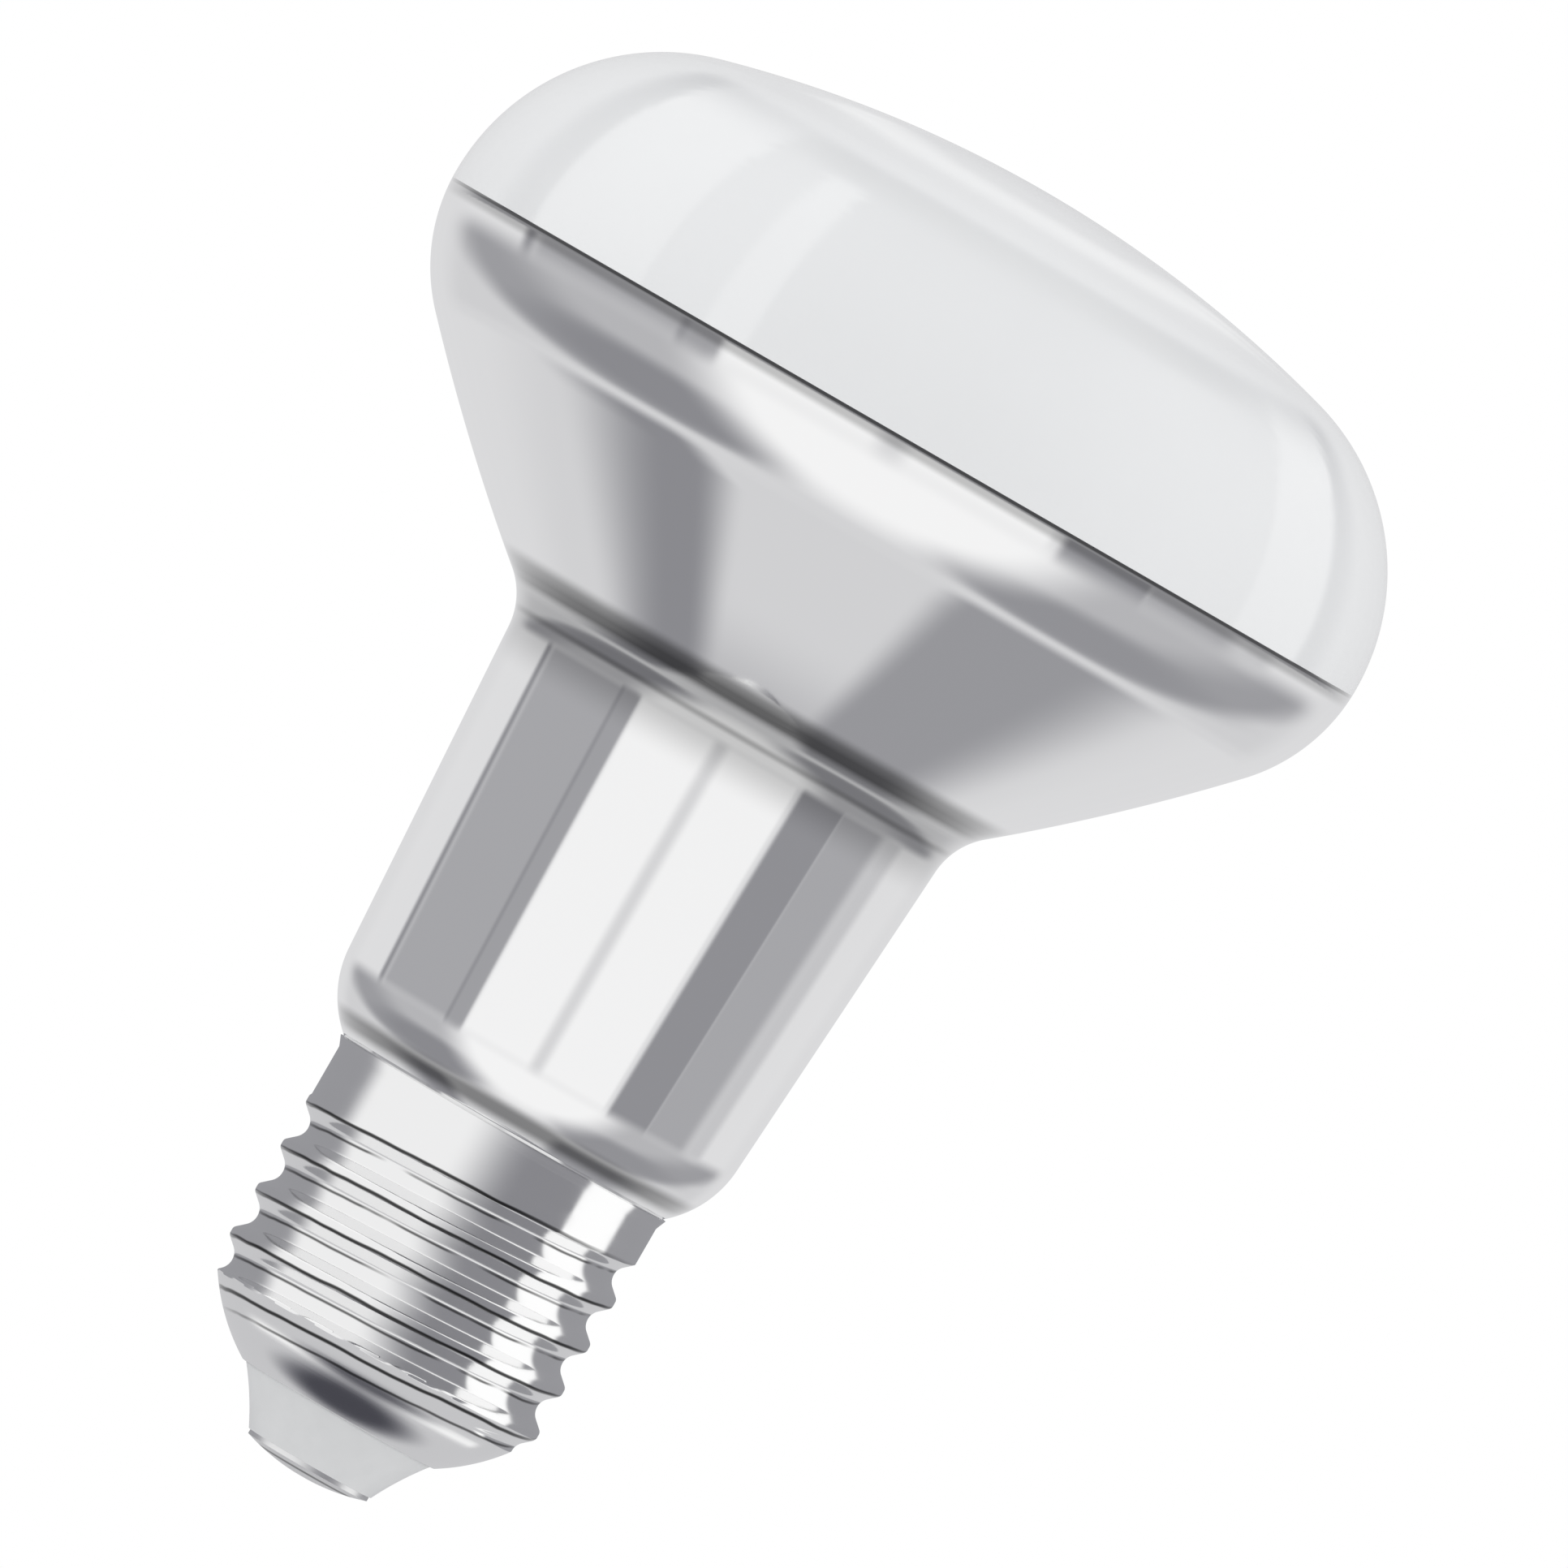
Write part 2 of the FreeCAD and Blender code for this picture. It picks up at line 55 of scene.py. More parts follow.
# %% [markdown]
# A half section is a list of points (radius, height). Its round stretches are arcs, which a
# helper draws from a centre, a radius and two angles. Drawing them as arcs and not as loose
# points matters on a mirror, where the smallest kink shows as a broken reflection.


# %% Drawing a half section
def arc(centre, radius, start, end, count):
    """Points at centre + radius (cos t, sin t), with t running evenly from start to end."""
    turn = np.linspace(start, end, count)
    return np.stack([centre[0] + radius * np.cos(turn), centre[1] + radius * np.sin(turn)], 1)


def straight(start, end, count):
    """Points at start + s (end - start), with s running evenly from 0 to 1."""
    share = np.linspace(0, 1, count)[:, None]
    return np.array(start) + share * (np.array(end) - np.array(start))


def chain(*stretches):
    """Stretches one after another, without the point that two neighbours share."""
    kept = [stretches[0]] + [stretch[1:] for stretch in stretches[1:]]
    return np.concatenate(kept)


def bearing(centre, point):
    """The angle at which a point lies from a centre, in radians."""
    return math.atan2(point[1] - centre[1], point[0] - centre[0])


print("a quarter circle in three points:", arc((0, 0), 1.0, 0, math.pi / 2, 3).round(2).tolist())

# %% [markdown]
# Spin would turn a section too, but it leaves a seam and can turn the shape inside out. A grid
# worked out as one array has neither: its last column joins its first, and a point on the axis
# becomes one vertex with a fan of triangles round it.

# %% Turning a section into a mesh
SEGMENTS = 256
SHARP_ANGLE = math.radians(50)


def grid_faces(rows, columns, closed_rows):
    """Four corners of each cell. Columns always wrap round the axis, and rows wrap as well
    where the section is a closed loop."""
    row = np.arange(rows if closed_rows else rows - 1)[:, None]
    column = np.arange(columns)[None, :]
    next_row, next_column = (row + 1) % rows, (column + 1) % columns
    corners = [row * columns + column, row * columns + next_column,
               next_row * columns + next_column, next_row * columns + column]
    return np.stack([corner.ravel() for corner in corners], 1)


def make_piece(name, points, faces):
    """A smooth mesh from points in millimetres, with its true edges kept sharp."""
    mesh = bpy.data.meshes.new(name)
    mesh.from_pydata((points * MM).tolist(), [], faces)
    mesh.polygons.foreach_set("use_smooth", [True] * len(mesh.polygons))
    mesh.set_sharp_from_angle(angle=SHARP_ANGLE)
    mesh.update()
    piece = bpy.data.objects.new(name, mesh)
    bpy.context.scene.collection.objects.link(piece)
    return piece


def outward(faces, points):
    """The faces as they are or all turned round, so that the volume they enclose, a sixth of
    the sum of the corners' triple products, is positive."""
    volume = 0.0
    for first, second, third in ((0, 1, 2), (0, 2, 3)):
        if max(first, second, third) < faces.shape[1]:
            a, b, c = (points[faces[:, corner]] for corner in (first, second, third))
            volume += np.einsum("ij,ij->i", a, np.cross(b, c)).sum() / 6
    return (faces if volume > 0 else faces[:, ::-1]), volume


def ringed(radius, height):
    """Points x = radius cos a, y = radius sin a, z = height, from arrays of rows by columns.
    The angle a grows by an equal step from one column to the next."""
    columns = radius.shape[1]
    angle = np.arange(columns) * 2 * math.pi / columns
    return np.stack([radius * np.cos(angle), radius * np.sin(angle), height], 2).reshape(-1, 3)


def turned_solid(name, section, columns=SEGMENTS):
    """A section from axis to axis, turned. Its two ends are single points on the axis."""
    rings = section[1:-1]
    wide = np.ones((1, columns))
    points = ringed(rings[:, :1] * wide, rings[:, 1:] * wide)
    poles = np.array([[0, 0, section[0, 1]], [0, 0, section[-1, 1]]])
    points = np.concatenate([points, poles])
    quads = grid_faces(len(rings), columns, False)
    column = np.arange(columns)
    following = (column + 1) % columns
    last = (len(rings) - 1) * columns
    first_pole, last_pole = len(points) - 2, len(points) - 1
    fans = np.concatenate([
        np.stack([np.full(columns, first_pole), following, column], 1),
        np.stack([np.full(columns, last_pole), last + column, last + following], 1)])
    turned, volume = outward(quads, points)
    fans = fans if volume > 0 else fans[:, ::-1]
    return make_piece(name, points, turned.tolist() + fans.tolist())


def turned_ring(name, radius, height):
    """A closed loop turned round the axis. Its radius may change with the angle as well."""
    wide = np.ones((1, SEGMENTS))
    points = ringed(radius * wide, height * wide)
    faces, _ = outward(grid_faces(len(radius), SEGMENTS, True), points)
    return make_piece(name, points, faces.tolist())


print("faces of a ring of 3 rows by 4 columns:", len(grid_faces(3, 4, True)))

# %% [markdown]
# The bulb is one blown envelope. A low crown and a tight shoulder lead to the widest line, the
# belly turns under into a cone that bows a little, and a crease leads into the slim neck, whose
# foot closes on the cap. Each stretch meets the next without a kink, so each centre follows
# from the one before.

# %% The blown envelope
LENGTH = 106.3
WIDEST = 37.2
WIDEST_LEVEL = 86.5
SHOULDER = 17.0
BELLY = 13.8
BELLY_TURN = math.radians(43.3)
CONE_BOW = 162.0
CREASE = 5.4
NECK_FOOT = np.array([16.03, 34.5])
TAPER = math.radians(3.6)
STUB_RADIUS, STUB_FOOT = 11.6, 20.0
RIM_LEVEL = 28.8
SEAT = np.array([13.13, RIM_LEVEL])


def bulb_section():
    """Arcs and lines from the stub's foot up the outside to the top of the crown. Where two
    arcs meet, both centres lie on one line with the meeting point, as far apart as their radii
    differ, or as their sum where the curve turns the other way."""
    across, rise = WIDEST - SHOULDER, LENGTH - WIDEST_LEVEL
    crown = (across ** 2 + rise ** 2 - SHOULDER ** 2) / (2 * (rise - SHOULDER))
    crown_centre = (0.0, LENGTH - crown)
    shoulder_centre = (across, WIDEST_LEVEL)
    lean = bearing(crown_centre, shoulder_centre)
    belly_centre = np.array([WIDEST - BELLY, WIDEST_LEVEL])
    inward = np.array([math.cos(BELLY_TURN), -math.sin(BELLY_TURN)])
    bow_centre = belly_centre + (BELLY - CONE_BOW) * inward
    along = np.array([math.sin(TAPER), math.cos(TAPER)])
    out = np.array([math.cos(TAPER), -math.sin(TAPER)])
    # The crease's centre lies one crease radius outside both the neck's line and the cone's bow
    offset = NECK_FOOT + CREASE * out - bow_centre
    half = offset @ along
    reach = -half - math.sqrt(half ** 2 - offset @ offset + (CONE_BOW + CREASE) ** 2)
    crease_centre = NECK_FOOT + CREASE * out + reach * along
    meeting = bearing(bow_centre, crease_centre)
    neck_top = crease_centre - CREASE * out
    # The seat arc leaves the neck smoothly and touches the inner edge of the cap's rim
    drop = NECK_FOOT - SEAT
    seat = (drop @ drop) / (2 * (drop @ out))
    seat_centre = NECK_FOOT - seat * out
    stub_level = seat_centre[1] - math.sqrt(seat ** 2 - (STUB_RADIUS - seat_centre[0]) ** 2)
    stub_top = (STUB_RADIUS, stub_level)
    return chain(
        straight((0, STUB_FOOT), (STUB_RADIUS, STUB_FOOT), 3),
        straight((STUB_RADIUS, STUB_FOOT), stub_top, 4),
        arc(seat_centre, seat, bearing(seat_centre, stub_top), -TAPER, 36),
        straight(NECK_FOOT, neck_top, 24),
        arc(crease_centre, CREASE, math.pi - TAPER, meeting + math.pi, 26),
        arc(bow_centre, CONE_BOW, meeting, -BELLY_TURN, 40),
        arc(belly_centre, BELLY, -BELLY_TURN, 0, 46),
        arc(shoulder_centre, SHOULDER, 0, lean, 52),
        arc(crown_centre, crown, lean, math.pi / 2, 44))


bulb = turned_solid("bulb_envelope", bulb_section())
print("bulb faces:", len(bulb.data.polygons), "size in mm:",
      [round(value / MM, 2) for value in bulb.dimensions])

# %% [markdown]
# The cap is one drawn sheet, rolled between a threaded mandrel and a roller. A displaced
# cylinder would give a soft thread, so the radius is worked out exactly. At any height and
# angle the groove's nearest turns are found, and its section of a round root, straight flanks
# and rounded crests is cut from the plain blank.

# %% The rolled cap
WALL = 0.3
CREST, DEPTH, PITCH = 13.2, 1.1, 3.629
ROOT_ROUND, CREST_ROUND, LEAST_ROUND = 1.2, 0.35, 0.01
FLANK = math.radians(42)
TOP_GROOVE = 23.61
RUNOUT = 0.3
COLLAR, COLLAR_FOOT = 13.1, 24.1
RUNOUT_TOP = COLLAR_FOOT + 1.2
STEP_FOOT = COLLAR_FOOT - 2 * (CREST - COLLAR)
FLARE, FLARE_FOOT = 0.33, RIM_LEVEL - 0.8
BOWL, BOWL_TOP = 15.1, 10.7
BOWL_CENTRE = BOWL_TOP + math.sqrt(BOWL ** 2 - CREST ** 2)
SHELL_END, HOLE = 5.2, 7.65
TURNS = 6


def blank_radius(height, wall):
    """The shell before threading: flared rim, collar, step and plain barrel, and a bowl that
    is part of a sphere, sqrt(R^2 - (distance below its centre)^2). The wall sets it all in."""
    barrel = np.interp(height, [STEP_FOOT, COLLAR_FOOT, FLARE_FOOT, RIM_LEVEL],
                       [CREST, COLLAR, COLLAR, COLLAR + FLARE]) - wall
    below = np.clip(BOWL_CENTRE - height, 0, None)
    bowl = np.sqrt(np.clip((BOWL - wall) ** 2 - below ** 2, 0, None))
    return np.minimum(barrel, np.where(below > 0, bowl, barrel))


def groove_radius(away, wall):
    """The groove's section at a distance from its middle: centre - sqrt(root^2 - away^2) in
    the root, a straight flank, then the crest's rounding, and no limit beyond."""
    root = ROOT_ROUND + wall
    rounding = max(CREST_ROUND - wall, LEAST_ROUND)
    crest = CREST - wall
    centre = CREST - DEPTH + ROOT_ROUND
    touch = np.array([centre - root * math.sin(FLANK), root * math.cos(FLANK)])
    leave = crest - rounding * (1 - math.sin(FLANK))
    leave_away = touch[1] + (leave - touch[0]) * math.tan(FLANK)
    level = leave_away + rounding * math.cos(FLANK)
    in_root = centre - np.sqrt(np.clip(root ** 2 - away ** 2, 0, None))
    in_flank = touch[0] + (away - touch[1]) / math.tan(FLANK)
    in_round = crest - rounding + np.sqrt(np.clip(rounding ** 2 - (level - away) ** 2, 0, None))
    section = np.where(away < touch[1], in_root, np.where(away < leave_away, in_flank, in_round))
    return np.where(away < level, section, np.inf)


def shell_radius(height, angle, wall):
    """The smaller of the blank and every turn of the groove. The turn that runs out at the
    top moves outwards as it climbs, until it has left the surface."""
    radius = blank_radius(height, wall)
    share = angle / (2 * math.pi)
    for turn in range(-TURNS, 1):
        middle = TOP_GROOVE + PITCH * (share + turn)
        lift = (DEPTH + CREST_ROUND) * share / RUNOUT if turn == 0 else 0.0
        radius = np.minimum(radius, groove_radius(np.abs(height - middle), wall) + lift)
    return radius


def shell_levels():
    """Heights of the rows from the rim down to the end, close together from the runout's top
    down over the thread, with a row at each level where the blank changes its slope."""
    return chain(np.linspace(RIM_LEVEL, FLARE_FOOT, 7),
                 np.linspace(FLARE_FOOT, RUNOUT_TOP, 8),
                 np.linspace(RUNOUT_TOP, COLLAR_FOOT, 14),
                 np.linspace(COLLAR_FOOT, STEP_FOOT, 4),
                 np.linspace(STEP_FOOT, BOWL_TOP, 151),
                 np.linspace(BOWL_TOP, SHELL_END, 50))


def rolled_cap():
    """Down the outside, in to the hole, and back up the inside, as one closed sheet."""
    angle = np.arange(SEGMENTS)[None, :] * 2 * math.pi / SEGMENTS
    outside = shell_levels()[:, None]
    inside = np.linspace(SHELL_END + WALL, RIM_LEVEL, 80)[:, None]
    wide = np.ones((1, SEGMENTS))
    hole_levels = np.array([[SHELL_END], [SHELL_END + WALL]])
    radius = np.concatenate([shell_radius(outside, angle, 0.0), HOLE * np.ones((2, 1)) * wide,
                             np.maximum(shell_radius(inside, angle, WALL), HOLE)])
    height = np.concatenate([outside, hole_levels, inside]) * wide
    return turned_ring("rolled_cap", radius, height)


cap = rolled_cap()
print("cap faces:", len(cap.data.polygons), "size in mm:",
      [round(value / MM, 2) for value in cap.dimensions])

# %% [markdown]
# The grey plug is a moulding that closes the cap. Below the metal it flares in a hollow curve
# down to the contact, and above it a straight plug fills the hole. It is a ring, because the
# contact's rivet passes through it. A plain cone would lose the hollow, so its side is an arc.

# %% The moulded plug
PLUG_FOOT = np.array([5.05, 1.1])
PLUG_BRIM = np.array([HOLE, SHELL_END])
PLUG_TOP = 8.0
PLUG_FLARE = 23.0
BORE = 1.2


def plug_section():
    """A loop of foot, hollow flare, side, top and bore. The flare's centre is outside the
    plug, on the middle line of the chord between its two ends."""
    chord = PLUG_BRIM - PLUG_FOOT
    width = math.hypot(*chord)
    away = math.sqrt(PLUG_FLARE ** 2 - width ** 2 / 4)
    centre = (PLUG_FOOT + PLUG_BRIM) / 2 + away * np.array([chord[1], -chord[0]]) / width
    start, end = (bearing(centre, point) % (2 * math.pi) for point in (PLUG_FOOT, PLUG_BRIM))
    loop = chain(straight((BORE, PLUG_FOOT[1]), PLUG_FOOT, 8),
                 arc(centre, PLUG_FLARE, start, end, 20),
                 straight(PLUG_BRIM, (HOLE, PLUG_TOP), 5),
                 straight((HOLE, PLUG_TOP), (BORE, PLUG_TOP), 6),
                 straight((BORE, PLUG_TOP), (BORE, PLUG_FOOT[1]), 6))
    # The last point is the first again
    return loop[:-1]


section = plug_section()
plug = turned_ring("moulded_plug", section[:, :1], section[:, 1:])
print("plug faces:", len(plug.data.polygons))

# %% [markdown]
# The contact is a thin tinned plate. Its underside is a shallow dome with a small flat at the
# tip, where the holder's spring presses, and a rivet shank behind holds it in the plug. A flat
# disc would be simpler, but it would catch the light all at once, and the dome doesn't.

# %% The contact plate
PLATE, PLATE_EDGE, TIP_FLAT, SHANK_TOP = 4.9, 0.35, 1.0, 6.5


def contact_section():
    """Tip flat, dome, edge, back of the plate and shank. The dome's centre is on the axis, as
    far from the tip flat's edge as from the plate's edge."""
    low = PLUG_FOOT[1] - PLATE_EDGE
    level = (PLATE ** 2 + low ** 2 - TIP_FLAT ** 2) / (2 * low)
    centre, dome = (0.0, level), math.hypot(TIP_FLAT, level)
    return chain(straight((0, 0), (TIP_FLAT, 0), 3),
                 arc(centre, dome, bearing(centre, (TIP_FLAT, 0)), bearing(centre, (PLATE, low)),
                     14),
                 straight((PLATE, low), (PLATE, PLUG_FOOT[1]), 4),
                 straight((PLATE, PLUG_FOOT[1]), (BORE, PLUG_FOOT[1]), 5),
                 straight((BORE, PLUG_FOOT[1]), (BORE, SHANK_TOP), 5),
                 straight((BORE, SHANK_TOP), (0, SHANK_TOP), 3))


contact = turned_solid("contact_plate", contact_section())
print("contact faces:", len(contact.data.polygons))

# %% [markdown]
# A finish is a small network of nodes. Written out link by link it is hard to read, so one
# class wraps a socket and lends it Python's own signs, and one method makes any other node
# from its type, its settings and what its sockets get.


# %% Writing finishes as sums
class Amount:
    """A number that varies over a surface. The usual signs add Math nodes to its tree."""

    def __init__(self, finish, socket):
        self.finish = finish
        self.socket = socket

    def maths(self, operation, *terms):
        """Any operation of the Math node, on its terms in their order."""
        return self.finish.node("ShaderNodeMath", {"operation": operation},
                                dict(enumerate(terms)))

    def __add__(self, other):
        return self.maths("ADD", self, other)

    def __sub__(self, other):
        return self.maths("SUBTRACT", self, other)

    def __rsub__(self, other):
        return self.maths("SUBTRACT", other, self)

    def __mul__(self, other):
        return self.maths("MULTIPLY", self, other)

    def __truediv__(self, other):
        return self.maths("DIVIDE", self, other)

    __radd__ = __add__
    __rmul__ = __mul__


class Finish:
    """The node tree of one material, or of the studio round the object."""

    def __init__(self, tree):
        self.tree = tree
        tree.nodes.clear()

    def node(self, kind, settings, inputs, output=0):
        """Any node: its settings first, then a number, colour or Amount for each input."""
        made = self.tree.nodes.new(kind)
        for name, value in settings.items():
            setattr(made, name, value)
        for name, value in inputs.items():
            if isinstance(value, Amount):
                self.tree.links.new(value.socket, made.inputs[name])
            else:
                made.inputs[name].default_value = value
        return Amount(self, made.outputs[output]) if made.outputs else None

    def climb(self, value, start, end):
        """0 below start and 1 above end, with a smooth slope between."""
        return self.node("ShaderNodeMapRange", {"interpolation_type": "SMOOTHSTEP"},
                         {"Value": value, "From Min": start, "From Max": end})

    def between(self, value, low, high, soft):
        """1 from low to high, with edges as wide as soft."""
        half = soft / 2
        return (self.climb(value, low - half, low + half)
                * (1 - self.climb(value, high - half, high + half)))

    def tint(self, share, first, second):
        """First colour where share is 0, second where it is 1. The Mix node takes colours at
        its inputs 6 and 7 and gives one at its output 2."""
        return self.node("ShaderNodeMix", {"data_type": "RGBA"},
                         {0: share, 6: first, 7: second}, output=2)

    def parts(self, vector):
        """The x, y and z of a vector."""
        return [self.node("ShaderNodeSeparateXYZ", {}, {0: vector}, output=part)
                for part in range(3)]

    def noise(self, place, scale, detail=2.0):
        """Soft blotches between 0 and 1, about as many to a metre as scale says."""
        return self.node("ShaderNodeTexNoise", {}, {"Vector": place, "Scale": scale,
                                                    "Detail": detail})

    def place(self):
        """Object coordinates, in metres."""
        return self.node("ShaderNodeTexCoord", {}, {}, output="Object")

    def relief(self, height, strength, distance):
        """The normal, tilted as if a height of 1 stood out by a distance in metres."""
        return self.node("ShaderNodeBump", {}, {"Height": height, "Strength": strength,
                                                "Distance": distance})

    def surface(self, **inputs):
        """A Principled surface. A socket's name is written with _ for its spaces."""
        named = {name.replace("_", " "): value for name, value in inputs.items()}
        shader = self.node("ShaderNodeBsdfPrincipled", {}, named)
        self.node("ShaderNodeOutputMaterial", {}, {"Surface": shader})


def new_finish(name, piece):
    """A new material, the piece's only one, with an empty tree to write its finish in."""
    material = bpy.data.materials.new(name)
    material.use_nodes = True
    piece.data.materials.clear()
    piece.data.materials.append(material)
    return Finish(material.node_tree)


def tell_finish(piece):
    """Print a piece's material and how many nodes it took."""
    material = piece.data.materials[0]
    print(material.name, "nodes:", len(material.node_tree.nodes))


def grey(level, warmth=0.0):
    """A neutral colour, or one that leans a little to red and away from blue. A negative
    warmth leans it to blue."""
    return (level + warmth, level, level - warmth, 1.0)


print("a cool grey:", grey(0.8, -0.01))

# %% [markdown]
# The envelope has two finishes that meet at one sharp line. Below it, metal vapour has been
# laid inside the glass and gives a mirror. Above it, a white powder scatters the light. Both
# are seen through the same glossy glass, so the surface keeps one clear coat, and only the
# metal, colour and roughness beneath change with height. Blown glass is never quite true, so
# a faint, broad relief bends the reflections.

# %% Glass, mirror and white powder
COATING_LINE = 86.0 * MM
HAIRLINE, EDGE_STRIP = 0.22 * MM, 0.75 * MM
CREASE_RING = (63.5 * MM, 65.1 * MM)
CREASE_SHADE = (57.5 * MM, 61.0 * MM)
CREASE_LINE = (61.5 * MM, 61.9 * MM)
SEAT_RING = (29.5 * MM, 30.7 * MM)
MOTTLE_SCALE, WAVE_SCALE = 90.0, 26.0


def bulb_finish():
    """White is 1 above the coating line, and below it bands of painted shade and reflection
    darken the mirror.
    """
    finish = new_finish("blown_glass", bulb)
    place = finish.place()
    height = finish.parts(place)[2]
    white = finish.climb(height, COATING_LINE - 0.03 * MM, COATING_LINE + 0.03 * MM)
    # Painted reflection and shade: a dark hairline at the coating's edge and a grey strip below
    # it
    hairline = finish.between(height, COATING_LINE - HAIRLINE, COATING_LINE, 0.2 * MM) * 0.9
    strip = finish.climb(height, COATING_LINE - EDGE_STRIP - 0.5 * MM,
                         COATING_LINE - EDGE_STRIP + 0.1 * MM) * 0.48
    # Painted shade in the two hollows as well: a darker stretch of neck below the crease with a
    # thin line in it, a ring in the crease, and one over the cap's rim
    ring = finish.between(height, *CREASE_RING, 0.9 * MM) * 0.72
    shade = finish.climb(height, *CREASE_SHADE) * (1 - finish.climb(height, *CREASE_RING)) * 0.45
    line = finish.between(height, *CREASE_LINE, 0.4 * MM) * 0.3
    seat = finish.between(height, *SEAT_RING, 0.8 * MM) * 0.8
    mottle = finish.noise(place, MOTTLE_SCALE, 4.0)
    # All the bands of painted shade and reflection on the mirror, summed
    painted_darkening = hairline + strip + ring + shade + line + seat
    mirror = finish.tint(painted_darkening, grey(0.96), grey(0.10))
    powder = finish.tint(mottle, grey(0.84, -0.010), grey(0.87, -0.010))
    waves = finish.noise(place, WAVE_SCALE, 1.0)
    finish.surface(Base_Color=finish.tint(white, mirror, powder),
                   Metallic=1 - white,
                   Roughness=0.035 + white * 0.4 + mottle * 0.02,
                   Coat_Weight=1.0, Coat_Roughness=0.02, Coat_IOR=1.7,
                   Normal=finish.relief(waves, 0.12, 0.6 * MM))


bulb_finish()
tell_finish(bulb)

# %% [markdown]
# The cap is bright rolled sheet. Rolling leaves fine lines round the barrel, so its roughness
# follows stretched noise. Its colour darkens in two uneven lines in each turn, one under the
# crest and a broken one in the groove: painted shade and painted reflection of dark surroundings.
# The top one marks where the thread meets the collar. How far a point is from the groove's
# middle follows from its height and angle, as the thread itself does.

# %% Rolled metal
SHADE_LINES_FOOT, SHADE_LINES_TOP = 7.9, 24.8
UNDER_CREST, IN_GROOVE = (0.39, 0.46), (0.07, 0.12)
WANDER_SCALE = 150.0
LINE_SCALE = (30, 30, 1400)


def cap_finish():
    """Phase is (height - top groove) / pitch - angle / 2 pi and a little noise, wrapped to run
    from -0.5 to 0.5."""
    finish = new_finish("rolled_sheet", cap)
    place = finish.place()
    across, depth, height = finish.parts(place)
    share = across.maths("ARCTAN2", depth, across) / (2 * math.pi)
    wander = finish.noise(place, WANDER_SCALE, 2.0)
    turns = height / (PITCH * MM) - TOP_GROOVE / PITCH - share + (wander - 0.5) * 0.12
    # 0 in the middle of the groove, and half a turn either way on the crest
    phase = turns.maths("WRAP", turns, 0.5, -0.5)
    # Painted shade: uneven dark lines under each crest and in the groove, over the thread
    threaded = finish.between(height, SHADE_LINES_FOOT * MM, SHADE_LINES_TOP * MM, 0.8 * MM)
    under_crest = finish.between(phase, *UNDER_CREST, 0.04)
    in_groove = finish.between(phase, *IN_GROOVE, 0.04) * finish.climb(wander, 0.32, 0.48) * 0.9
    shade = (under_crest + in_groove) * threaded
    stretched = finish.node("ShaderNodeMapping", {}, {"Vector": place, "Scale": LINE_SCALE})
    lines = finish.noise(stretched, 1.0, 3.0)
    finish.surface(Base_Color=finish.tint(shade, grey(0.93), grey(0.06)),
                   Metallic=1.0,
                   Roughness=0.06 + lines * 0.10,
                   Normal=finish.relief(lines, 0.10, 0.05 * MM))


cap_finish()
tell_finish(cap)

# %% [markdown]
# The plug is a dense moulding with a soft gloss, and the contact is tinned metal dulled by
# handling. Both are small and half hidden, so a faint grain is enough for the plug, and the
# contact gets one more thing, a narrow dark ring round its tip.

# %% Plug and contact
PLUG_GRAIN, TIN_GRAIN = 700.0, 900.0
CONTACT_RING = (0.36 * MM, 0.48 * MM)


def plug_finish():
    """Grain moves the colour and the roughness a little, and lifts the surface as well."""
    finish = new_finish("grey_moulding", plug)
    grain = finish.noise(finish.place(), PLUG_GRAIN, 3.0)
    finish.surface(Base_Color=finish.tint(grain, grey(0.66, -0.008), grey(0.71, -0.008)),
                   Roughness=0.26 + grain * 0.12,
                   Normal=finish.relief(grain, 0.08, 0.05 * MM))


def contact_finish():
    """Grain as on the plug, and a ring between two heights on the dome."""
    finish = new_finish("tinned_plate", contact)
    place = finish.place()
    grain = finish.noise(place, TIN_GRAIN, 4.0)
    tin = finish.tint(grain, grey(0.80), grey(0.92))
    ring = finish.between(finish.parts(place)[2], *CONTACT_RING, 0.12 * MM) * 0.9
    finish.surface(Base_Color=finish.tint(ring, tin, grey(0.05)),
                   Metallic=1.0,
                   Roughness=0.28 + grain * 0.18,
                   Normal=finish.relief(grain, 0.15, 0.04 * MM))


plug_finish()
contact_finish()
tell_finish(plug)
tell_finish(contact)

# %% [markdown]
# Each new surface stands for one node of the frame. It rides on the only body there is and
# hides the plainer solid.

# %% Joining the frame
for piece, node, slot in ((bulb, "glass_bulb", "bulb_glass"),
                          (cap, "screw_shell", "cap_metal"),
                          (plug, "cap_insulator", "insulator"),
                          (contact, "centre_contact", "contact_metal")):
    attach(piece, "root")
    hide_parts(node)
print("pieces joined:", [piece.name for piece in (bulb, cap, plug, contact)])

# %% [markdown]
# A mirror has no look of its own: it shows the room. Lamps and real cards round the bulb would
# make that room, but they would stand in the way of other views, and a world full of nodes is
# slow. So the room is a far, large ball with shades painted on its points, worked out as
# arrays. It is designed the way a light probe is read, on a small mirror ball seen from the
# front. A turned surface has the same normals as that ball, so a shade laid at some place
# across and some tilt shows there on the neck, the belly and the cone alike.


# %% Painting a room of light
def rounded_step(value, start, end):
    """0 up to start and 1 from end, with 3 s^2 - 2 s^3 between, s running from 0 to 1."""
    share = np.clip((value - start) / (end - start), 0, 1)
    return share * share * (3 - 2 * share)


def span(value, limits, soft):
    """1 between two limits, with an edge as wide as soft says at each."""
    (low, high), (low_edge, high_edge) = limits, soft
    return (rounded_step(value, low - low_edge / 2, low + low_edge / 2)
            * (1 - rounded_step(value, high - high_edge / 2, high + high_edge / 2)))


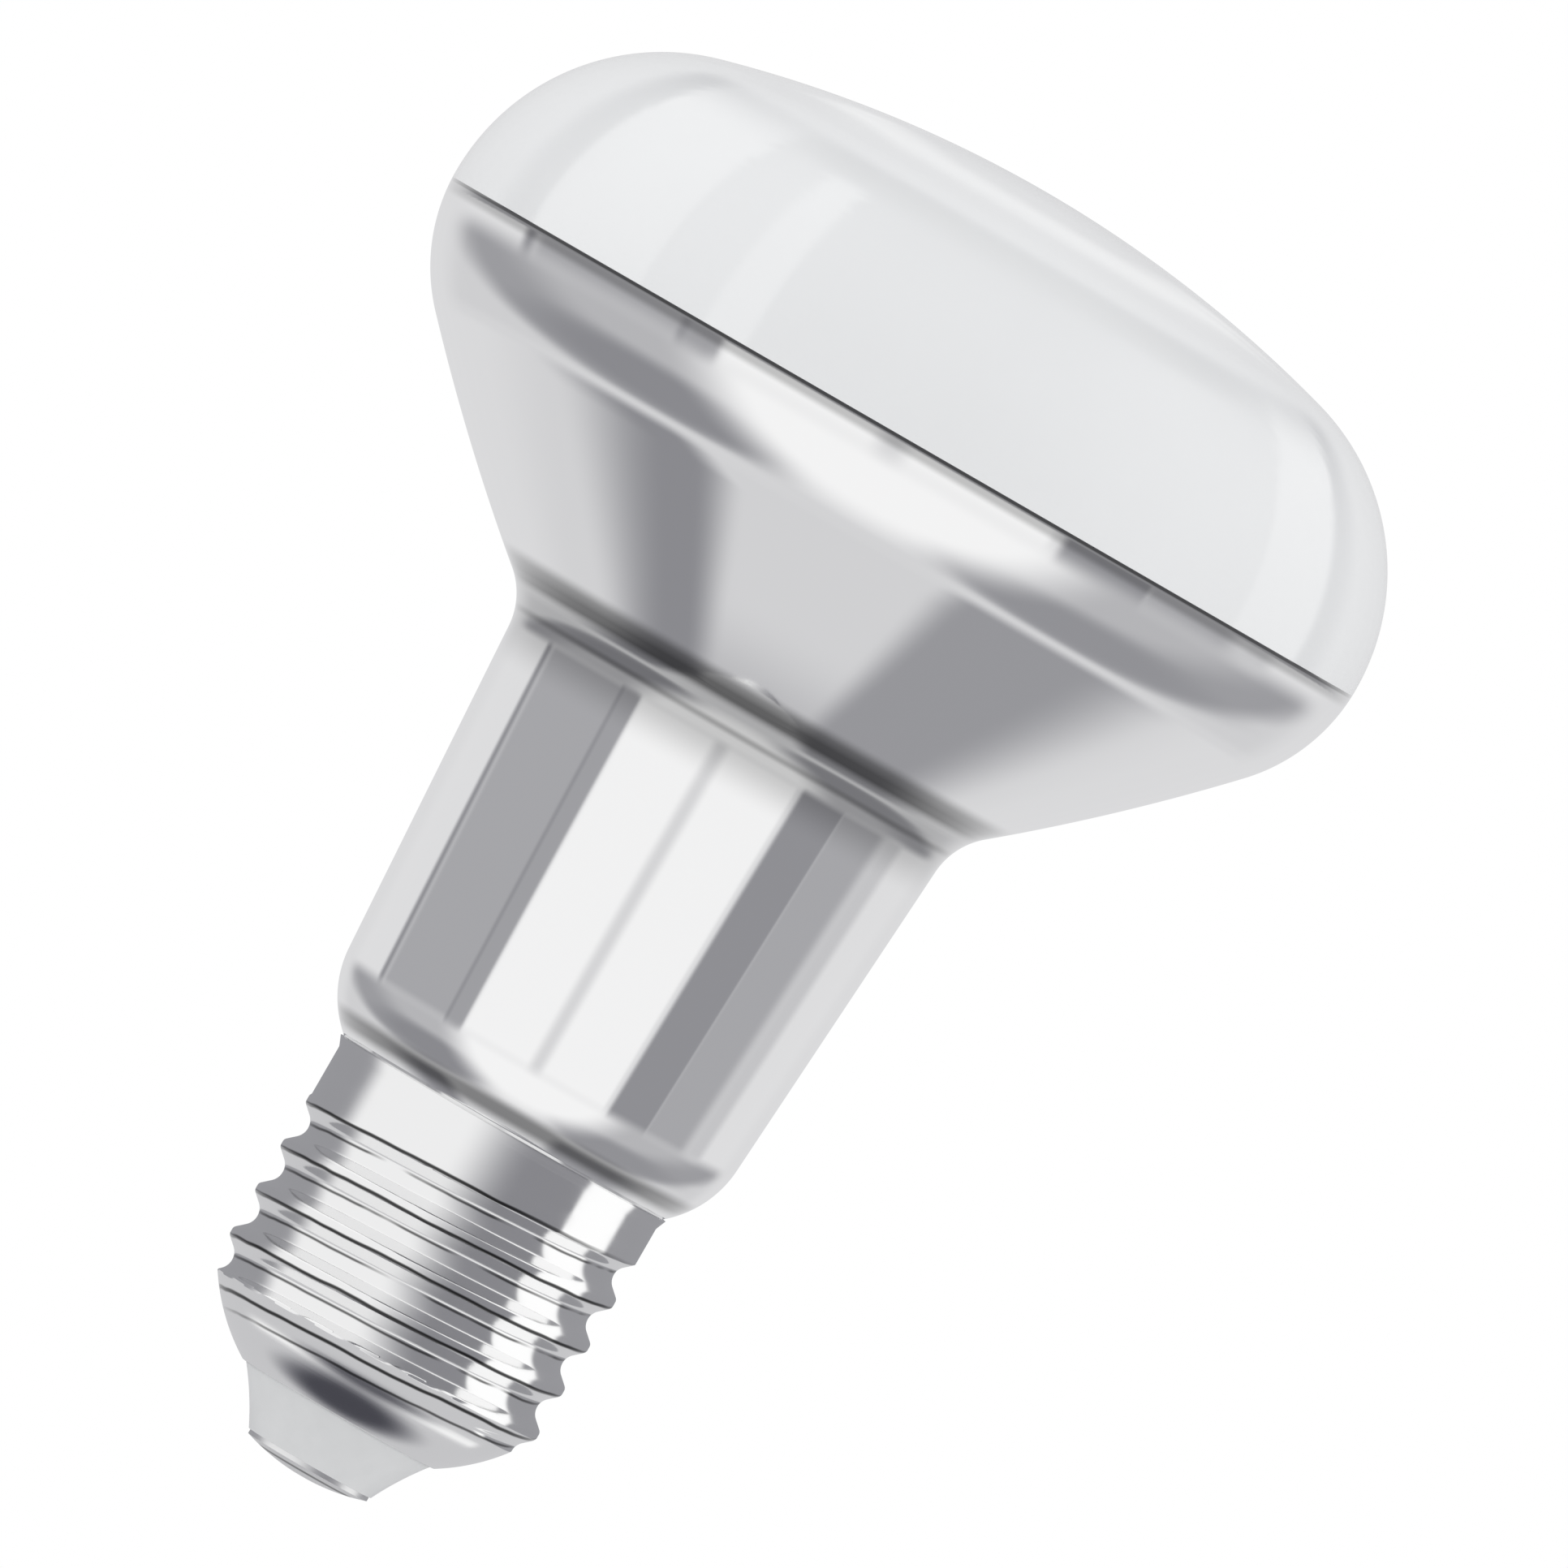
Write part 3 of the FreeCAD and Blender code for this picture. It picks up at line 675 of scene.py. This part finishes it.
class Room:
    """Shades laid one over another on a mirror ball. Across runs from -1 at its left edge to
    1 at its right, as x / radius does on any turned surface, and tilt is how many degrees the
    surface looks down. What is seen is a share of white, as a screen shows it."""

    def __init__(self, right, away, up, seen):
        # The ball's normal there is the direction less the camera's line of sight
        level = np.maximum(np.hypot(right, 1 - away), 1e-6)
        self.across = right / level
        self.tilt = np.degrees(np.arctan2(-up, level))
        self.seen = np.full(right.shape, float(seen))

    def lay(self, mask, seen):
        """Cover what is there with a shade, as far as the mask says from 0 to 1."""
        self.seen += mask * (seen - self.seen)

    def band(self, seen, tilt, fade=(4, 4)):
        """One shade all round, between two tilts."""
        self.lay(span(self.tilt, tilt, fade), seen)

    def card(self, seen, across, tilt, soft=(0.04, 0.04), fade=(4, 4), lean=0.0):
        """Lean moves the card across for each degree of tilt past its first."""
        shifted = self.across - lean * (self.tilt - tilt[0])
        self.lay(span(shifted, across, soft) * span(self.tilt, tilt, fade), seen)

    def lens(self, seen, middle, half, soft, slope=0.0):
        """An ellipse with its middle and half sizes, faded over a share of its size either
        way. Slope adds degrees of tilt across it."""
        across = self.across - middle[0]
        out = np.hypot(across / half[0], (self.tilt - middle[1] - slope * across) / half[1])
        self.lay(1 - rounded_step(out, 1 - soft, 1 + soft), seen)


def straight_ahead(paint):
    """What a room shows to a surface that faces the camera."""
    right, away, up = np.array([[0.0], [-1.0], [0.0]])
    return round(float(paint(right, away, up)[0]), 2)


print("a rounded step, a quarter of the way up:", float(rounded_step(0.25, 0, 1)))

# %% [markdown]
# Glass and metal want different lights. A photographer lights one after the other and joins
# the pictures, and here each has its own room. From the crown down, the glass sees upright
# bars of light, then, where the neck looks, two tall windows between grey cards. The belly
# sees the round end of the front light between two dark ovals, each with a paler one in it,
# and the cone sees a pale floor with a dark wedge at each side.

# %% The room that the glass sees
CROWN, CROWN_FADE = (-58, 1.6), (26, 0.3)
NECK, NECK_FADE = (3.2, 9.5), (0.4, 8)
BELLY_TILT = (6, 36)
CONE, CONE_FADE = (36.5, 60), (4, 8)


def glass_room(right, away, up):
    """The shade in each direction, given by its parts to the right, away and up."""
    room = Room(right, away, up, 0.86)
    # Belly: at each side a dark oval, a paler one in it and a slanting dark one below, and in
    # the middle the front light's round end
    room.band(0.82, BELLY_TILT)
    for side in (-1, 1):
        room.lens(0.62, (0.49 * side, 9), (0.46, 24.5), 0.10)
        room.lens(0.72, (0.44 * side, 6), (0.39, 16), 0.24)
    room.lens(0.55, (-0.47, 26), (0.29, 6), 0.45, 5)
    room.lens(0.58, (0.50, 27), (0.29, 5.5), 0.5, -4)
    room.lens(0.97, (0.01, 5), (0.43, 26), 0.24)
    # A thin light line parts belly and cone
    room.band(0.84, (33.5, 36.5), (3, 3))
    # Cone: a pale floor, darker where it is deepest, and two wedges
    room.card(0.83, (-0.8, 0.8), CONE, (0.2, 0.2))
    room.card(0.70, (-0.45, 0.45), (49, 60), (0.3, 0.3), (5, 8))
    room.card(0.55, (-0.65, -0.375), CONE, (0.28, 0.13), CONE_FADE, 0.012)
    room.card(0.60, (0.265, 0.70), CONE, (0.10, 0.24), CONE_FADE, -0.002)
    # Neck: grey cards and two windows with a bar between
    room.band(0.88, NECK, NECK_FADE)
    room.card(0.66, (-0.80, -0.40), NECK, (0.05, 0.03), NECK_FADE)
    room.card(0.57, (-0.82, -0.80), NECK, (0.02, 0.02), NECK_FADE)
    room.card(0.58, (-0.475, -0.455), NECK, (0.015, 0.02), NECK_FADE)
    room.card(0.63, (-0.455, -0.385), NECK, (0.02, 0.02), NECK_FADE)
    room.card(0.965, (-0.38, 0.345), NECK, (0.03, 0.02), NECK_FADE)
    room.card(0.85, (-0.035, 0.022), NECK, (0.05, 0.05), NECK_FADE)
    room.card(0.57, (0.37, 0.56), NECK, (0.025, 0.015), NECK_FADE)
    room.card(0.66, (0.56, 0.76), NECK, (0.015, 0.09), NECK_FADE)
    room.card(0.78, (0.76, 0.83), NECK, (0.06, 0.04), NECK_FADE)
    # Right under the coating line
    room.band(0.66, (1.6, 3.2), (0.3, 0.3))
    # Crown: bars that end softly in a dark band, and a pale top over it
    room.band(0.45, (-90, 1.6), (4, 0.3))
    room.card(0.76, (0.30, 0.725), CROWN, (0.5, 0.02), CROWN_FADE)
    room.card(0.99, (-0.82, -0.575), CROWN, (0.02, 0.02), CROWN_FADE)
    room.card(0.68, (-0.575, -0.44), CROWN, (0.02, 0.02), CROWN_FADE)
    room.card(0.99, (-0.44, -0.345), CROWN, (0.02, 0.02), CROWN_FADE)
    room.card(1.0, (0.725, 0.867), CROWN, (0.02, 0.02), CROWN_FADE)
    room.band(0.84, (-90, -62), (4, 10))
    room.card(0.12, (-0.50, 0.60), (-61, -52), (0.2, 0.3), (8, 7))
    room.band(0.96, (-79, -76), (2, 2))
    room.card(0.86, (0.90, 1.1), (-90, 1.6), (0.06, 0.04), (4, 0.3))
    room.card(0.86, (-1.1, -0.88), (-90, 1.6), (0.04, 0.06), (4, 0.3))
    # Behind the object, where every edge looks
    room.card(0.86, (0.95, 1.1), (-100, 100), (0.06, 0.04))
    room.card(0.86, (-1.1, -0.95), (-100, 100), (0.04, 0.06))
    return room.seen


print("glass sees straight ahead:", straight_ahead(glass_room))

# %% [markdown]
# The cap sees a simpler room: a broad soft light on the left that falls away slowly into the
# dark, and a hard bright strip on the right. They are tall, so each turn of the thread shows
# them again. Light closes the dark stretch above and below, which rounds its end in each turn,
# and the bowl sees a pale floor with a dark smear and a thin one over it.

# %% The room that the metal sees
FLANK_TILT = (math.degrees(FLANK) - 1.2, math.degrees(FLANK) + 1.2)


def metal_room(right, away, up):
    """The shade in each direction, given by its parts to the right, away and up."""
    room = Room(right, away, up, 0.545)
    # Both edges, and the broad soft light
    room.card(0.60, (0.83, 1.1), (-90, 90))
    room.card(0.60, (-1.1, -0.80), (-90, 90))
    room.card(0.96, (-0.76, 0.03), (-80, 80), (0.14, 0.42))
    # Light above and below the dark stretch
    room.card(1.0, (-0.76, 0.58), (-50, -31), (0.14, 0.03), (6, 6))
    room.card(0.96, (-0.10, 0.58), (25.5, 31), (0.3, 0.03), (3, 4))
    # The bright strip, and the pale floor
    room.card(1.03, (0.555, 0.82), (-80, 60), (0.02, 0.03))
    room.band(0.79, (30, 90), (3, 4))
    # The thread's lower flanks all have one tilt, and see a narrow light line there
    room.card(1.0, (-0.76, 0.84), FLANK_TILT, (0.14, 0.06), (1.4, 1.4))
    # The two smears in the bowl
    room.lens(0.28, (0.0, 51), (0.50, 6.5), 0.45)
    room.lens(0.32, (0.05, 41), (0.40, 2.0), 0.6)
    return room.seen


print("metal sees straight ahead:", straight_ahead(metal_room))

# %% [markdown]
# Both rooms are balls that only reflections see. Their light is added and they let each ray
# through, so one doesn't hide the other, and light linking gives each its own pieces. They
# differ in size, because a ray that passes one ball would skip another at the same distance.
# A point grid that is closer near level keeps the neck's narrow band crisp.

# %% Hanging the rooms round the object
GLASS_ROOM_RADIUS, METAL_ROOM_RADIUS = 8000.0, 9000.0
ROOM_COLUMNS = 480
CLOSE_FROM, CLOSE_TO = -12, 2
BLUE_LEAN = 0.04


def room_section(radius):
    """A half circle from nadir to zenith, R (cos rise, sin rise), with close steps near level."""
    rise = np.radians(chain(np.linspace(-90, CLOSE_FROM, 74),
                            np.linspace(CLOSE_FROM, CLOSE_TO, 60),
                            np.linspace(CLOSE_TO, 90, 50)))
    return radius * np.stack([np.cos(rise), np.sin(rise)], 1)


def light_of(seen):
    """The light that a screen shows as some share of white, ((seen + 0.055) / 1.055)^2.4, which
    holds for all but the darkest shades."""
    return ((seen + 0.055) / 1.055) ** 2.4


def hang_room(name, radius, paint, seen_by):
    """A ball with painted points, whose light only reflections in the listed pieces show."""
    ball = turned_solid(name, room_section(radius), ROOM_COLUMNS)
    mesh = ball.data
    place = np.empty(len(mesh.vertices) * 3)
    mesh.vertices.foreach_get("co", place)
    seen = paint(*(place.reshape(-1, 3).T / (radius * MM)))
    # The dark cards are a little blue
    tinted = np.stack([seen, seen, seen + BLUE_LEAN * np.clip(1 - seen, 0, 1)], 1)
    light = light_of(tinted)
    shades = mesh.attributes.new("shade", "FLOAT_COLOR", "POINT")
    shades.data.foreach_set("color", np.column_stack([light, np.ones(len(light))]).ravel())
    finish = new_finish(name, ball)
    shade = finish.node("ShaderNodeAttribute", {"attribute_name": "shade"}, {}, output="Color")
    glow = finish.node("ShaderNodeEmission", {}, {"Color": shade})
    clear = finish.node("ShaderNodeBsdfTransparent", {}, {})
    both = finish.node("ShaderNodeAddShader", {}, {0: glow, 1: clear})
    finish.node("ShaderNodeOutputMaterial", {}, {"Surface": both})
    mesh.materials[0].cycles.emission_sampling = "NONE"
    for ray in ("camera", "diffuse", "transmission", "volume_scatter", "shadow"):
        setattr(ball, "visible_" + ray, False)
    linked = bpy.data.collections.new(name + "_pieces")
    for piece in seen_by:
        linked.objects.link(piece)
    ball.light_linking.receiver_collection = linked
    print(name, "points:", len(light), "shades from", round(float(seen.min()), 2),
          "to", round(float(seen.max()), 2))


def make_world():
    """White for the camera and for soft light, and nothing for reflections, which the rooms
    give."""
    world = bpy.data.worlds.new("studio")
    bpy.context.scene.world = world
    world.use_nodes = True
    studio = Finish(world.node_tree)
    glossy = studio.node("ShaderNodeLightPath", {}, {}, output="Is Glossy Ray")
    white = studio.node("ShaderNodeBackground", {},
                        {"Color": (1.0, 1.0, 1.0, 1.0), "Strength": 1 - glossy})
    studio.node("ShaderNodeOutputWorld", {}, {"Surface": white})


hang_room("glass_room", GLASS_ROOM_RADIUS, glass_room, [bulb])
hang_room("metal_room", METAL_ROOM_RADIUS, metal_room, [cap, plug, contact])
make_world()

# %% [markdown]
# The floor is a pale disc some way below the contact, because the bulb is held by its cap and
# doesn't stand. It catches the soft shadow. The mirror doesn't show it, or it would hide the
# studio's lower cards.

# %% Floor and soft light
# In metres, and the power in watts
FLOOR_LEVEL, FLOOR_RADIUS, FLOOR_POINTS = -0.15, 1.5, 96
LAMP_PLACE, LAMP_AIM = Vector((-0.15, -0.25, 1.0)), Vector((0.0, 0.0, 0.05))
LAMP_SIZE, LAMP_POWER = 0.7, 0.4


def make_floor():
    """One flat face with its corners at R (cos a, sin a)."""
    angle = np.arange(FLOOR_POINTS) * 2 * math.pi / FLOOR_POINTS
    rim = np.stack([FLOOR_RADIUS * np.cos(angle), FLOOR_RADIUS * np.sin(angle),
                    np.full(FLOOR_POINTS, FLOOR_LEVEL)], 1)
    mesh = bpy.data.meshes.new("floor")
    mesh.from_pydata(rim.tolist(), [], [list(range(FLOOR_POINTS))])
    floor = bpy.data.objects.new("floor", mesh)
    bpy.context.scene.collection.objects.link(floor)
    finish = new_finish("pale_floor", floor)
    finish.surface(Base_Color=grey(0.9), Roughness=0.9)
    floor.visible_glossy = False


def make_lamp():
    """A soft disc of light overhead. It shines along its -Z, so its Z points away from its
    aim."""
    light = bpy.data.lights.new("overhead", "AREA")
    light.shape = "DISK"
    light.size = LAMP_SIZE
    light.energy = LAMP_POWER
    lamp = bpy.data.objects.new("overhead", light)
    lamp.location = LAMP_PLACE
    lamp.rotation_euler = (LAMP_PLACE - LAMP_AIM).to_track_quat("Z", "Y").to_euler()
    lamp.visible_glossy = False
    bpy.context.scene.collection.objects.link(lamp)


make_floor()
make_lamp()
print("floor at", FLOOR_LEVEL, "m, lamp at", LAMP_PLACE.z, "m")

# %% [markdown]
# The camera stands far off with a long lens, level with the coating line, which is why that
# line looks straight while the cap's rim curves. It is rolled, so that the bulb leans thirty
# degrees to the right.

# %% Camera
DISTANCE = 2.7
LEAN = math.radians(30)
AIM = Vector((5.1, 0.0, 60.2)) * MM
FRAME_WIDTH = 112.3 * MM
SENSOR_WIDTH = 36.0
NEAREST, FARTHEST = 0.1, 20.0


def make_camera():
    """A lens of sensor width times distance / frame width, so that the frame is that wide at
    the bulb. Its own axes are right, up and back."""
    data = bpy.data.cameras.new("camera")
    data.sensor_width = SENSOR_WIDTH
    data.lens = data.sensor_width * DISTANCE / FRAME_WIDTH
    data.clip_start, data.clip_end = NEAREST, FARTHEST
    camera = bpy.data.objects.new("camera", data)
    bpy.context.scene.collection.objects.link(camera)
    place = Vector((AIM.x, -DISTANCE, COATING_LINE))
    back = (place - AIM).normalized()
    lean_up = Vector((-math.sin(LEAN), 0.0, math.cos(LEAN)))
    right = lean_up.cross(back).normalized()
    up = back.cross(right)
    turn = Matrix((right, up, back)).transposed().to_4x4()
    camera.matrix_world = Matrix.Translation(place) @ turn
    bpy.context.scene.camera = camera


make_camera()
bpy.context.scene.view_settings.view_transform = "Standard"
print("lens in mm:", round(bpy.context.scene.camera.data.lens, 1))
